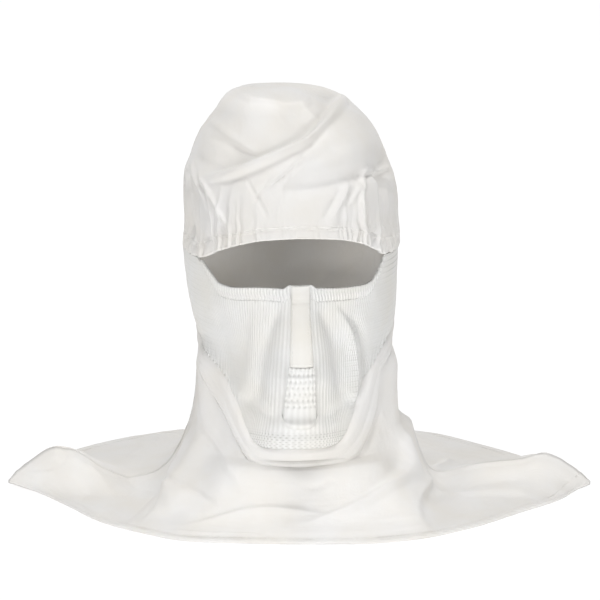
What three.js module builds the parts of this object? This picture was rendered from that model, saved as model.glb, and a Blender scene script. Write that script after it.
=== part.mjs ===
// Anti-flash hood: a white cotton hood with a shoulder cape, a gathered elastic brow and a knitted face mask.
// Millimetres, +Z up. The face looks along -Y, and +X is on the viewer's right.
// The origin is where the crown's inner face rests on the top of a head.
//
// Every piece lies on one skin, which is found from two numbers: deg, the angle round the head from the middle
// of the face, and run, the way down the cloth. Run 0 is the top of the head, NECK_RUN is the foot of the neck,
// and from there run counts the way over the cape to the hem in hundredths.

import * as THREE from "three";

// Cloth thicknesses and seams
const COTTON = 2; // two layers of woven cotton
const KNIT = 2;
const TAPE = 1.2;
const MOUTH_KNIT = 2.4;
const HEM_FOLD = 2.5; // the hem is turned up
const SEAM_GAP = 0.3;
const REST_Z = -296; // the hem lies at this height

// Runs that bound the pieces
const NECK_RUN = 302;
const HEM_STITCH_RUN = 396;
const HEM_RUN = 402;
const CAPE_STEPS = HEM_RUN - NECK_RUN;

// Level sections of the head and neck: height, half breadths, reaches, squareness and sideways lean
const head = table("run z left right front back power lean", [
  [0, 0.1, 0, 0, 0, 0, 2, -9],
  [14, 0, 14, 13, 15, 15, 2, -9],
  [26, -0.5, 25, 24, 28, 29, 2.1, -8],
  [40, -2.6, 35, 34, 46, 44, 2.2, -5],
  [52, -8.7, 46, 45, 56.5, 58, 2.2, -2],
  [64, -18.5, 54, 53.5, 67.5, 70, 2.2, 0],
  [80, -33, 65, 62, 79.5, 83, 2.2, 0],
  [96, -48, 70.5, 70, 87.5, 93, 2.2, 0],
  [110, -61, 75.5, 74.5, 92.5, 99, 2.2, 0],
  [130, -80, 76, 77, 96.5, 103, 2.2, 0],
  [150, -100, 75, 77, 98.5, 104, 2.2, 0],
  [170, -120, 76, 77.5, 97, 103, 2.2, 0],
  [190, -140, 74.5, 77, 95, 99, 2.2, 0],
  [210, -160, 71, 76, 93.5, 93, 2.2, 0],
  [230, -180, 66.5, 73.5, 92.5, 86, 2.2, 0],
  [250, -200, 67.5, 75, 92.5, 80, 2.2, 0],
  [270, -220, 69, 76.5, 93, 77, 2.2, 0],
  [288, -237, 71.5, 79, 94, 78, 2.2, 0],
  [NECK_RUN, -250, 74.5, 85, 97, 82, 2.2, 0],
]);

// The cape by angle: how soon and at what height it turns outwards, and where its hem lies
const CAPE_COLUMNS = "deg kneeShare kneeZ hemX hemY hemZ";
const frontCape = table(CAPE_COLUMNS, [
  [-90, 0.17, -285, -208, 9, -291],
  [-82, 0.17, -285, -190, -4, -293],
  [-72, 0.2, -286, -168, -33, -293.5],
  [-58, 0.3, -285, -139, -79, -293.5],
  [-46, 0.4, -281, -114, -103, -293.5],
  [-30, 0.45, -277, -77, -127, -293.5],
  [-15, 0.45, -275, -38, -134, -293.5],
  [0, 0.45, -275, 0, -139, -293.5],
  [15, 0.45, -275, 38, -141, -293.5],
  [30, 0.45, -277, 75, -135, -293.5],
  [46, 0.35, -282, 118, -113, -293.5],
  [60, 0.22, -288, 160, -80, -293.5],
  [74, 0.14, -289, 193, -53, -293.5],
  [83, 0.12, -289, 210, -31, -293.5],
  [90, 0.12, -288, 222, -21, -292.5],
]);
const backCape = table(CAPE_COLUMNS, [
  [90, 0.12, -288, 222, -21, -292.5],
  [98, 0.14, -288, 205, 8, -293],
  [108, 0.2, -287, 187, 47, -293.5],
  [122, 0.28, -284, 157, 88, -293.5],
  [136, 0.33, -282, 122, 125, -293.5],
  [155, 0.35, -280, 66, 147, -293.5],
  [180, 0.35, -279, -4, 148, -293.5],
  [205, 0.35, -281, -66, 150, -293.5],
  [230, 0.3, -285, -112, 134, -293.5],
  [250, 0.22, -288, -160, 98, -293.5],
  [262, 0.17, -288, -193, 45, -293],
  [270, 0.17, -285, -208, 9, -291],
]);

// The wing tips of the cape stand up in a soft hump along each side seam: height by run
const leftWing = table("run rise", [
  [336, 0],
  [351, 9],
  [359, 17],
  [368, 23],
  [375, 24],
  [390, 13],
  [HEM_RUN, 0.5],
]);
const rightWing = table("run rise", [
  [314, 0],
  [325, 3],
  [342, 10],
  [367, 15],
  [377, 19],
  [384, 16],
  [391, 10],
  [HEM_RUN, 0.5],
]);
const WING_SPREAD = 17; // degrees either side of the seam

// Edges of the face opening by angle: the elastic casing's foot, its depth, and the mask's upper edge
const brow = table("deg foot depth", [
  [-90, 163.6, 9],
  [-60, 163, 9.5],
  [-46, 156, 10],
  [-32, 149.5, 8],
  [-16, 144.5, 8],
  [0, 143, 8],
  [16, 144.3, 8],
  [32, 149, 8.5],
  [43, 155.5, 10.5],
  [52, 160.6, 9.5],
  [90, 161, 9],
]);
const maskTop = table("deg run", [
  [-90, 164],
  [-60, 163.7],
  [-56, 166.5],
  [-52, 170],
  [-48, 174],
  [-44, 177.5],
  [-36, 179],
  [-22, 177.5],
  [-7, 176.5],
  [-4, 173.5],
  [4, 173.5],
  [7, 176.5],
  [22, 178.5],
  [34, 178.5],
  [40, 177],
  [44, 173],
  [48, 168],
  [52, 161.5],
  [90, 161.5],
]);

// The binding round the mask's foot, from the left side seam (0) under the chin (10) to the right seam (20):
// where its inner and outer edges lie
const binding = table("step innerDeg innerRun outerDeg outerRun", [
  [0, -90, 222, -90, 234],
  [1, -76, 227, -78, 238],
  [2, -64, 232.5, -68, 243],
  [3, -54, 239, -60, 253],
  [4, -46, 246.5, -53, 262],
  [5, -39, 257, -46, 271],
  [6, -33, 268, -40, 280],
  [7, -28, 279, -35, 288],
  [8, -23, 288.5, -29, 296.5],
  [9, -15, 293, -20, 305],
  [10, 0, 293.5, 0, 309],
  [11, 11, 293, 15, 306.5],
  [12, 18, 289, 24, 302],
  [13, 23, 281, 32, 295],
  [14, 27, 271, 39, 286],
  [15, 32, 257.5, 45, 274],
  [16, 38, 247, 48.5, 260],
  [17, 47, 236, 51, 246],
  [18, 60, 225.5, 63, 235],
  [19, 74, 219, 75, 229],
  [20, 90, 215, 90, 225],
]);
const STEPS = 20;
const BAND_FIRST = 3.5; // the mask's ribbed band runs between the corners of the eyes
const BAND_LAST = 15.5;
const BAND_DEPTH = 8.5;
const BAND_END_DEPTH = 2.5;
const TAPE_FIRST = 9.5;
const TAPE_LAST = 10.5;
const TAPE_BREADTH = 0.74; // share of the mouth panel's breadth
const TAPE_END_SHARE = 0.4; // shares of the way from the band to the chin
const MOUTH_END_SHARE = 0.83;

// The nose and chin under the mask: how far the cloth stands out, and over what half width
const nose = table("run rise width", [
  [150, 0, 15],
  [165, 4.5, 15],
  [176, 8, 13],
  [192, 12, 13],
  [210, 19, 16],
  [224, 25, 19],
  [234, 25, 20],
  [250, 18, 22],
  [266, 14, 26],
  [282, 9, 30],
  [300, 3, 32],
  [312, 0, 32],
]);

// Folds, each through three points of the skin: height (minus for a valley) and width either side of its line,
// on the left and on the right of someone who follows it
const FOLDS = rows("deg0 run0 deg1 run1 deg2 run2 height left right", [
  // crown
  [-64, 44, -4, 43, 60, 42, 1.6, 4, 6],
  [84, 33, 2, 68, -60, 105, -5, 5, 20],
  [82, 44, 1, 78, -60, 117, -2, 5, 5],
  [-78, 70, -52, 73, -18, 86, 1.8, 5, 5],
  [0, 86, -7, 100, -19, 110, -2, 3, 3],
  [-8, 108, 26, 99, 88, 94, -7.5, 11, 9],
  [24, 109, 17, 120, 12, 132, 1.8, 5, 5],
  [-30, 100, -22, 111, -18, 119, -1.2, 3, 3],
  // pleats that fall from the temples to the elastic, with a hollow behind each
  [-80, 99, -57, 114, -48, 150, 3.4, 5, 7],
  [44, 98, 33, 119, 36, 150, 3.4, 7, 5],
  [-86, 104, -74, 128, -72, 158, -7, 8, 14],
  [62, 98, 52, 124, 54, 158, -7.5, 16, 7],
  [40, 98, 57, 100, 76, 104, 2.4, 6, 3],
  // mask
  [-7, 188, -16, 218, -21, 262, -2.5, 4, 5],
  [-34, 212, -30, 238, -32, 262, 1.8, 5, 5],
  [6, 188, 14, 218, 19, 262, -2.5, 5, 4],
  [19, 190, 33, 233, 24, 276, 2.6, 6, 5],
  // neck and bib
  [-86, 236, -74, 262, -62, 286, 2.4, 5, 5],
  [-62, 283, -40, 302, -20, 332, 3, 7, 6],
  [50, 262, 43, 284, 26, 306, -2, 4, 4],
  [62, 250, 60, 276, 62, 300, 2.2, 7, 7],
  [68, 296, 31, 334, -2, 376, 4.5, 7, 6],
  [-34, 314, 0, 319, 34, 314, 4.5, 9, 14],
  [-76, 298, -55, 323, -38, 362, 8, 14, 9],
  [98, 302, 76, 312, 56, 332, 6, 10, 9],
  [-84, 315, -64, 348, -44, 404, -6.5, 6, 10],
  [86, 298, 50, 336, 35, 404, 8, 5, 20],
  [94, 303, 57, 340, 42, 402, -4, 7, 6],
  [-44, 386, 0, 386, 40, 386, 4.5, 20, 8],
  [60, 318, 74, 346, 76, 398, -2, 9, 9],
  // back of the head and cape
  [112, 120, 150, 142, 196, 128, 2.5, 10, 12],
  [250, 124, 222, 150, 180, 166, 2.5, 12, 10],
  [128, 200, 160, 216, 205, 214, -2.5, 10, 10],
  [236, 196, 214, 226, 178, 244, -2, 10, 10],
  [142, 300, 138, 350, 132, 402, 4, 12, 12],
  [170, 306, 176, 356, 178, 402, 3, 14, 14],
  [214, 300, 220, 350, 228, 402, 4, 12, 12],
]);
const FOLD_SEGMENTS = 10;
const FOLD_FADE = 0.3; // share of a fold's length in which each end dies away

// Gathers of the elastic casing, one every few degrees from the temples back
const GATHER_DEG = 4;
const GATHER_HEIGHT = 1;
const GATHER_FROM = 24;

// Colours and finishes
const cotton = new THREE.MeshStandardMaterial({ color: 0xf1f0ee, roughness: 0.9, metalness: 0 });
const knit = new THREE.MeshStandardMaterial({ color: 0xe9e8e6, roughness: 0.95, metalness: 0 });
const tapeCloth = new THREE.MeshStandardMaterial({ color: 0xefeee6, roughness: 0.85, metalness: 0 });

function rows(names, values) {
  return values.map((row) => Object.fromEntries(names.split(" ").map((name, i) => [name, row[i]])));
}

// A table's columns as smooth functions of its first column
function table(names, values) {
  const keys = values.map((row) => row[0]);
  return Object.fromEntries(
    names.split(" ").map((name, i) => [name, monotone(keys, values.map((row) => row[i]))]),
  );
}

// A cubic through the points that never overshoots them
function monotone(keys, values) {
  const last = keys.length - 1;
  const chords = keys.slice(1).map((key, i) => (values[i + 1] - values[i]) / (key - keys[i]));
  const slopes = keys.map((_, i) => {
    if (i === 0) return chords[0];
    if (i === last) return chords[last - 1];
    const product = chords[i - 1] * chords[i];
    return product <= 0 ? 0 : (2 * product) / (chords[i - 1] + chords[i]);
  });
  return (key) => {
    const at = Math.min(Math.max(key, keys[0]), keys[last]);
    let i = 0;
    while (i < last - 1 && at > keys[i + 1]) i += 1;
    const width = keys[i + 1] - keys[i];
    const t = (at - keys[i]) / width;
    const u = 1 - t;
    return (
      values[i] * u * u * (1 + 2 * t) +
      values[i + 1] * t * t * (3 - 2 * t) +
      width * t * u * (slopes[i] * u - slopes[i + 1] * t)
    );
  };
}

const power = (base, exponent) => Math.sign(base) * Math.abs(base) ** exponent;
const bell = (distance, width) => Math.exp(-((distance / width) ** 2));
const smooth = (t) => {
  const c = Math.min(Math.max(t, 0), 1);
  return c * c * (3 - 2 * c);
};
const mix = (a, b, t) => a + (b - a) * t;

// The plain form of the head and neck
function headPoint(deg, run) {
  const angle = THREE.MathUtils.degToRad(deg);
  const exponent = 2 / head.power(run);
  const across = power(Math.sin(angle), exponent);
  const ahead = power(Math.cos(angle), exponent);
  const breadth = across < 0 ? head.left(run) : head.right(run);
  const reach = ahead > 0 ? head.front(run) : head.back(run);
  return new THREE.Vector3(head.lean(run) + breadth * across, -reach * ahead, head.z(run));
}

// The plain form of the whole hood; the cape falls steeply to its knee and then runs out flat to the hem
function formPoint(deg, run) {
  if (run <= NECK_RUN) return headPoint(deg, run);
  const turned = ((deg % 360) + 360) % 360;
  const inFront = turned <= 90 || turned >= 270;
  const cape = inFront ? frontCape : backCape;
  const key = inFront && turned >= 270 ? turned - 360 : turned;
  const share = (run - NECK_RUN) / CAPE_STEPS;
  const neck = headPoint(deg, NECK_RUN);
  const hemZ = cape.hemZ(key);
  const drop = neck.z - hemZ;
  const steepness =
    Math.log((cape.kneeZ(key) - hemZ) / drop) / Math.log(1 - cape.kneeShare(key));
  return new THREE.Vector3(
    mix(neck.x, cape.hemX(key), share),
    mix(neck.y, cape.hemY(key), share),
    hemZ + drop * (1 - Math.min(share, 1)) ** steepness,
  );
}

// The outward direction of the plain form
function formNormal(deg, run) {
  if (run < 1) return new THREE.Vector3(0, 0, 1);
  const turnStep = 1.5;
  const runStep = 1.5;
  const around = formPoint(deg + turnStep, run).sub(formPoint(deg - turnStep, run));
  const down = formPoint(deg, Math.min(run + runStep, HEM_RUN)).sub(formPoint(deg, run - runStep));
  return around.cross(down).negate().normalize();
}

// Millimetres of skin for each degree at a run
function degreeLength(run) {
  const at = Math.min(run, NECK_RUN);
  const radius = (head.left(at) + head.right(at) + head.front(at) + head.back(at)) / 4;
  const spread = 1 + Math.max(run - NECK_RUN, 0) / CAPE_STEPS;
  return THREE.MathUtils.degToRad(radius) * spread;
}

// A fold's line as short segments in millimetres of skin
const foldLines = FOLDS.map((fold) => {
  const scale = degreeLength(fold.run1);
  const bend = (a, b, c, t) => {
    const control = 2 * b - (a + c) / 2;
    return a * (1 - t) ** 2 + 2 * control * t * (1 - t) + c * t * t;
  };
  const points = Array.from({ length: FOLD_SEGMENTS + 1 }, (_, i) => {
    const t = i / FOLD_SEGMENTS;
    return [bend(fold.deg0, fold.deg1, fold.deg2, t) * scale, bend(fold.run0, fold.run1, fold.run2, t)];
  });
  return { ...fold, scale, points };
});

function foldHeight(line, deg, run) {
  const x = deg * line.scale;
  let best = Infinity;
  let side = 0;
  let along = 0;
  for (let i = 0; i < FOLD_SEGMENTS; i += 1) {
    const [x0, y0] = line.points[i];
    const dx = line.points[i + 1][0] - x0;
    const dy = line.points[i + 1][1] - y0;
    const t = Math.min(Math.max(((x - x0) * dx + (run - y0) * dy) / (dx * dx + dy * dy), 0), 1);
    const distance = Math.hypot(x - x0 - dx * t, run - y0 - dy * t);
    if (distance < best) {
      best = distance;
      side = dx * (run - y0) - dy * (x - x0);
      along = (i + t) / FOLD_SEGMENTS;
    }
  }
  const width = side < 0 ? line.left : line.right;
  const fade = smooth(Math.min(along, 1 - along) / FOLD_FADE + 0.1);
  return line.height * fade * bell(best, width);
}

// How far the cloth stands out from the plain form
function relief(deg, run) {
  const turned = deg > 90 + 1e-9 ? deg - 360 : deg;
  const fromLeftSeam = Math.abs(deg > 180 ? deg - 270 : deg + 90);
  const fromRightSeam = Math.abs(deg - 90);
  let height = nose.rise(run) * bell(Math.min(Math.abs(deg), Math.abs(turned)) * degreeLength(run), nose.width(run));
  if (run > NECK_RUN) {
    height += leftWing.rise(run) * (1 - smooth(fromLeftSeam / WING_SPREAD));
    height += rightWing.rise(run) * (1 - smooth(fromRightSeam / WING_SPREAD));
  }
  const fromHem = smooth((HEM_RUN - run) / 12);
  const fromTop = smooth(run / 30);
  const fade = run > NECK_RUN ? fromHem : fromTop;
  for (const line of foldLines) height += foldHeight(line, deg, run) * fade;
  return height;
}

function skin(deg, run, lift) {
  return formPoint(deg, run).addScaledVector(formNormal(deg, run), relief(deg, run) + lift);
}

// A closed wall over a grid of the skin. place(column, row) gives deg and run, and may add lift, the height of
// the outer face over the skin, and thick, the wall's own thickness.
function wall(columns, lines, thickness, place) {
  const positions = [];
  const index = new Map();
  const triangles = [];
  const vertex = (column, row, face) => {
    const { deg, run, lift = 0, thick = thickness } = place(column, row);
    const point = skin(deg, run, face === 0 ? lift : lift - thick);
    point.z = Math.max(point.z, face === 0 ? REST_Z + thick : REST_Z);
    point.y += deg > 90 ? SEAM_GAP / 2 : -SEAM_GAP / 2;
    const key = point.toArray().map((value) => value.toFixed(3)).join();
    if (!index.has(key)) {
      index.set(key, positions.length / 3);
      positions.push(...point.toArray());
    }
    return index.get(key);
  };
  const grid = [0, 1].map((face) => lines.map((row) => columns.map((column) => vertex(column, row, face))));
  const add = (a, b, c) => {
    if (a !== b && b !== c && a !== c) triangles.push(a, b, c);
  };
  const quad = (a, b, c, d) => {
    add(a, b, c);
    add(a, c, d);
  };
  const [outer, inner] = grid;
  const lastRow = lines.length - 1;
  const lastColumn = columns.length - 1;
  for (let r = 0; r < lastRow; r += 1) {
    for (let c = 0; c < lastColumn; c += 1) {
      quad(outer[r][c], outer[r + 1][c], outer[r + 1][c + 1], outer[r][c + 1]);
      quad(inner[r][c], inner[r][c + 1], inner[r + 1][c + 1], inner[r + 1][c]);
    }
    quad(inner[r][0], inner[r + 1][0], outer[r + 1][0], outer[r][0]);
    quad(outer[r][lastColumn], outer[r + 1][lastColumn], inner[r + 1][lastColumn], inner[r][lastColumn]);
  }
  for (let c = 0; c < lastColumn; c += 1) {
    quad(outer[0][c], outer[0][c + 1], inner[0][c + 1], inner[0][c]);
    quad(outer[lastRow][c + 1], outer[lastRow][c], inner[lastRow][c], inner[lastRow][c + 1]);
  }
  return new THREE.BufferGeometry()
    .setAttribute("position", new THREE.Float32BufferAttribute(positions, 3))
    .setIndex(triangles);
}

const spaced = (from, to, count) => Array.from({ length: count + 1 }, (_, i) => mix(from, to, i / count));

// The angle at which each step of the binding meets the mask's upper edge and the hem
const stepDeg = (step) => mix(-90, 90, step / STEPS);

// Crown: the front half of the cap, from the top of the head to the elastic
function crownFront() {
  const shares = [0, 0.1, 0.19, 0.28, 0.34, 0.41, 0.48, 0.55, 0.63, 0.71, 0.79, 0.87, 0.94, 1];
  return wall(spaced(-90, 90, 36), shares, COTTON, (deg, share) => ({
    deg,
    run: share * (brow.foot(deg) - brow.depth(deg) - SEAM_GAP / 2),
  }));
}

// Elastic casing over the eyes, gathered at the temples
function browCasing() {
  const pleats = (90 - GATHER_FROM) / (GATHER_DEG / 2);
  const left = spaced(-90, -GATHER_FROM, pleats);
  const right = spaced(GATHER_FROM, 90, pleats);
  const columns = [...left, ...spaced(-18, 18, 6), ...right];
  return wall(columns, [0, 0.5, 1], COTTON, (deg, share) => {
    const count = Math.round(deg / (GATHER_DEG / 2));
    const temple = smooth((Math.abs(deg) - GATHER_FROM) / 14) * smooth((90 - Math.abs(deg)) / 4);
    return {
      deg,
      run: brow.foot(deg) - mix(brow.depth(deg) - SEAM_GAP / 2, 0, share),
      lift: 0.6 * Math.sin(Math.PI * share) + temple * GATHER_HEIGHT * (count % 2 ? 1 : 0),
    };
  });
}

// Depth of the mask's ribbed band at a step, shallow at the corners of the eyes
function bandDepth(step) {
  const fromEnd = Math.min(step - BAND_FIRST, BAND_LAST - step);
  return mix(BAND_END_DEPTH, BAND_DEPTH, smooth(fromEnd / 1.5));
}

// The knitted body's upper edge at a step
function knitTop(step) {
  const below = bandDepth(step) + SEAM_GAP;
  const fade = Math.max(BAND_FIRST - step, step - BAND_LAST, 0) / 0.5;
  return maskTop.run(stepDeg(step)) + SEAM_GAP / 2 + below * (1 - Math.min(fade, 1));
}

// A place of the mask, share 0 at the knit's upper edge and 1 at the binding
function maskPlace(step, share) {
  return {
    deg: mix(stepDeg(step), binding.innerDeg(step), share),
    run: mix(knitTop(step), binding.innerRun(step) - SEAM_GAP, share),
  };
}

// Columns of the mask, binding and bib, closer together over the nose
const STEP_COLUMNS = [...spaced(0, 9, 18), ...spaced(9.25, 10.75, 6), ...spaced(11, 20, 18)];
const MASK_SHARES = [0, 0.1, 0.19, 0.28, 0.36, TAPE_END_SHARE, 0.51, 0.6, 0.69, 0.76, MOUTH_END_SHARE, 0.92, 1];

function faceMask() {
  return wall(STEP_COLUMNS, MASK_SHARES, KNIT, maskPlace);
}

// Ribbed elastic band along the mask's upper edge
function maskBand() {
  const columns = STEP_COLUMNS.filter((step) => step >= BAND_FIRST && step <= BAND_LAST);
  return wall(columns, [0, 0.5, 1], KNIT, (step, share) => ({
    deg: stepDeg(step),
    run: maskTop.run(stepDeg(step)) + SEAM_GAP / 2 + share * bandDepth(step),
    lift: 0.5 * Math.sin(Math.PI * share),
  }));
}

// Tape sewn down the ridge of the nose, over the band and the knit
function noseTape() {
  const columns = STEP_COLUMNS.filter((step) => step >= TAPE_FIRST && step <= TAPE_LAST);
  const shares = MASK_SHARES.filter((share) => share <= TAPE_END_SHARE);
  const bandShares = [-1, -0.5];
  const middle = (TAPE_FIRST + TAPE_LAST) / 2;
  return wall(columns, [...bandShares, ...shares], TAPE, (column, share) => {
    const step = mix(middle, column, TAPE_BREADTH);
    const lift = SEAM_GAP + TAPE;
    if (share >= 0) return { ...maskPlace(step, share), lift };
    return {
      deg: stepDeg(step),
      run: maskTop.run(stepDeg(step)) + SEAM_GAP / 2 + (1 + share) * bandDepth(step),
      lift: lift + 0.5 * Math.sin(-Math.PI * share),
    };
  });
}

// Coarse knit panel over the mouth, below the tape, with a rounded foot
function mouthPanel() {
  const columns = STEP_COLUMNS.filter((step) => step >= TAPE_FIRST && step <= TAPE_LAST);
  const shares = MASK_SHARES.filter((share) => share > TAPE_END_SHARE && share <= MOUTH_END_SHARE);
  return wall(columns, [TAPE_END_SHARE + 0.006, ...shares], MOUTH_KNIT, (step, share) => {
    const rounding = 0.03 * (2 * (step - (TAPE_FIRST + TAPE_LAST) / 2)) ** 2;
    const foot = smooth((share - 0.76) / (MOUTH_END_SHARE - 0.76));
    return { ...maskPlace(step, share - rounding * foot), lift: SEAM_GAP + MOUTH_KNIT };
  });
}

// Binding round the mask's foot: a soft double roll, its section given across the strip
function faceBinding() {
  const across = [0, 0.2, 0.5, 0.8, 1];
  const roll = table("share height", [
    [0, 0.4],
    [0.2, 2.8],
    [0.5, 1.8],
    [0.8, 3.4],
    [1, 0.4],
  ]);
  return wall(STEP_COLUMNS, across, COTTON, (step, share) => ({
    deg: mix(binding.innerDeg(step), binding.outerDeg(step), share),
    run: mix(binding.innerRun(step), binding.outerRun(step), share),
    lift: roll.height(share),
    thick: COTTON + roll.height(share),
  }));
}

// Front of the cape with the throat, from the binding to the hem
function frontBib() {
  const shares = [0, 0.11, 0.22, 0.33, 0.42, 0.46, 0.5, 0.55, 0.62, 0.7, 0.79, 0.9, 1];
  const hem = 2;
  return wall(STEP_COLUMNS, [...shares, hem], COTTON, (step, share) => {
    const top = binding.outerRun(step) + SEAM_GAP;
    const atHem = share === hem;
    const along = Math.min(share, 1);
    return {
      deg: mix(binding.outerDeg(step), stepDeg(step), smooth(along * 1.2)),
      run: atHem ? HEM_RUN : mix(top, HEM_STITCH_RUN, along),
      thick: atHem ? HEM_FOLD : COTTON,
    };
  });
}

// Back: one length of cloth from the top of the head to the hem
function backPanel() {
  const runs = [
    0, 14, 28, 42, 56, 72, 90, 108, 128, 150, 172, 194, 216, 238, 260, 282, NECK_RUN,
    310, 320, 332, 346, 362, 380, HEM_STITCH_RUN, HEM_RUN,
  ];
  return wall(spaced(90, 270, 28), runs, COTTON, (deg, run) => ({
    deg: deg === 90 ? 90 + 1e-6 : deg,
    run,
    thick: run === HEM_RUN ? HEM_FOLD : COTTON,
  }));
}

const hood = new THREE.Group();
const pieces = [
  ["crown_front", crownFront, cotton],
  ["brow_casing", browCasing, cotton],
  ["back_panel", backPanel, cotton],
  ["front_bib", frontBib, cotton],
  ["face_binding", faceBinding, cotton],
  ["face_mask", faceMask, knit],
  ["mask_band", maskBand, knit],
  ["nose_tape", noseTape, tapeCloth],
  ["mouth_panel", mouthPanel, knit],
];
for (const [name, build, material] of pieces) {
  const mesh = new THREE.Mesh(build(), material);
  mesh.name = name;
  hood.add(mesh);
}

export default hood;
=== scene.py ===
"""Anti-flash hood: white cotton hood and shoulder cape with a gathered elastic brow and a rib-knit face mask.

The hood's cloth lies on one skin of deg and run. deg is the angle round the head from the middle of the face.
run is the way down the cloth: millimetres to the foot of the neck, and hundredths of the cape from there.
"""

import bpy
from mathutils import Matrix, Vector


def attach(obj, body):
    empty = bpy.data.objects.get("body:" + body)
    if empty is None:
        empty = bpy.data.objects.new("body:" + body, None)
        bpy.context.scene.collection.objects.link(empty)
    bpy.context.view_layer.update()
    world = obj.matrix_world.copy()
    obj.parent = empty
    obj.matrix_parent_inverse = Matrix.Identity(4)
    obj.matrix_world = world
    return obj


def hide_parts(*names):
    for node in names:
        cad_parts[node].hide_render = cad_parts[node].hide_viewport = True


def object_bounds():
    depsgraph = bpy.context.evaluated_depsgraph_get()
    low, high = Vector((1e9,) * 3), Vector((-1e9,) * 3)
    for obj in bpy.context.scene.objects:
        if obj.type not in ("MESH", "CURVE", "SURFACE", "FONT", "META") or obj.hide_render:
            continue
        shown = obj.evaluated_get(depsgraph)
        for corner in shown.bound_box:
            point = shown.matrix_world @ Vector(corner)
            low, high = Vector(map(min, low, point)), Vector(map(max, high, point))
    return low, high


bl_info = {
    "name": "Anti-flash hood",
    "version": (1, 0, 0),
    "blender": (4, 5, 0),
    "location": "View3D > Sidebar > Hood",
    "description": "Builds a white cotton anti-flash hood piece by piece, with its cloth, knit and stitching",
    "category": "Add Mesh",
}

import bmesh
import bpy
import numpy as np
from bpy.props import FloatProperty, FloatVectorProperty, PointerProperty
from mathutils import Vector

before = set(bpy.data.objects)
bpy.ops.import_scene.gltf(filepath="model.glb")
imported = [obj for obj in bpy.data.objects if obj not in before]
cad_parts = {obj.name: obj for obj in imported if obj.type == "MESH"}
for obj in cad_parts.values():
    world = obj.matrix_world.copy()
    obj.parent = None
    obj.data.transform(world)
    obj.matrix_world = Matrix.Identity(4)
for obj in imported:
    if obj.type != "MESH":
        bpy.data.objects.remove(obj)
CAD_BOX = [list(corner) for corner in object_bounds()]

# Sizes are in millimetres, unless a comment says otherwise
MM = 0.001
SIDE_SEAM = 90
ELASTIC_RUN = 160
NECK_RUN = 302.0
HEM_STITCH_RUN = 396.0
HEM_RUN = 402.0
CAPE_STEPS = HEM_RUN - NECK_RUN
REST_Z = CAD_BOX[0][2] / MM
SEAM_GAP = 0.3
STEPS = 20


def monotone(keys, values):
    """A cubic through the points that never overshoots them, as a function of arrays."""
    chords = np.diff(values) / np.diff(keys)
    product = chords[:-1] * chords[1:]
    total = chords[:-1] + chords[1:]
    inside = np.where(product > 0, 2 * product / np.where(total == 0, 1, total), 0)
    slopes = np.concatenate([chords[:1], inside, chords[-1:]])

    def curve(key):
        """The two nearest values and slopes, each weighed by a cubic of the way between their keys."""
        at = np.clip(key, keys[0], keys[-1])
        i = np.clip(np.searchsorted(keys, at) - 1, 0, len(keys) - 2)
        width = keys[i + 1] - keys[i]
        t = (at - keys[i]) / width
        u = 1 - t
        return (
            values[i] * u * u * (1 + 2 * t)
            + values[i + 1] * t * t * (3 - 2 * t)
            + width * t * u * (slopes[i] * u - slopes[i + 1] * t)
        )

    return curve


def table(names, values):
    """A table's columns as smooth functions of its first column."""
    data = np.array(values, float)
    return {name: monotone(data[:, 0], data[:, i]) for i, name in enumerate(names.split())}


# Level sections of the head and neck: height, half breadths, reaches, squareness and sideways lean
HEAD = table("run z left right front back power lean", [
    [0, 0.1, 0, 0, 0, 0, 2, -9],
    [14, 0, 14, 13, 15, 15, 2, -9],
    [26, -0.5, 25, 24, 28, 29, 2.1, -8],
    [40, -2.6, 35, 34, 46, 44, 2.2, -5],
    [52, -8.7, 46, 45, 56.5, 58, 2.2, -2],
    [64, -18.5, 54, 53.5, 67.5, 70, 2.2, 0],
    [80, -33, 65, 62, 79.5, 83, 2.2, 0],
    [96, -48, 70.5, 70, 87.5, 93, 2.2, 0],
    [110, -61, 75.5, 74.5, 92.5, 99, 2.2, 0],
    [130, -80, 76, 77, 96.5, 103, 2.2, 0],
    [150, -100, 75, 77, 98.5, 104, 2.2, 0],
    [170, -120, 76, 77.5, 97, 103, 2.2, 0],
    [190, -140, 74.5, 77, 95, 99, 2.2, 0],
    [210, -160, 71, 76, 93.5, 93, 2.2, 0],
    [230, -180, 66.5, 73.5, 92.5, 86, 2.2, 0],
    [250, -200, 67.5, 75, 92.5, 80, 2.2, 0],
    [270, -220, 69, 76.5, 93, 77, 2.2, 0],
    [288, -237, 71.5, 79, 94, 78, 2.2, 0],
    [NECK_RUN, -250, 74.5, 85, 97, 82, 2.3, 0],
])

# The cape by angle: how soon and at what height it turns outwards, and where its hem lies
CAPE_COLUMNS = "deg knee_share knee_z hem_x hem_y hem_z"
FRONT_CAPE = table(CAPE_COLUMNS, [
    [-90, 0.17, -285, -208, 9, -291],
    [-82, 0.17, -285, -190, -4, -293],
    [-72, 0.2, -286, -168, -33, -293.5],
    [-58, 0.3, -285, -139, -79, -293.5],
    [-46, 0.4, -281, -114, -103, -293.5],
    [-30, 0.45, -277, -77, -127, -293.5],
    [-15, 0.45, -275, -38, -134, -293.5],
    [0, 0.45, -275, 0, -139, -293.5],
    [15, 0.45, -275, 38, -141, -293.5],
    [30, 0.45, -277, 75, -135, -293.5],
    [46, 0.35, -282, 118, -113, -293.5],
    [60, 0.22, -288, 160, -80, -293.5],
    [74, 0.14, -289, 193, -53, -293.5],
    [83, 0.12, -289, 210, -31, -293.5],
    [90, 0.12, -288, 222, -21, -292.5],
])
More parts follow.
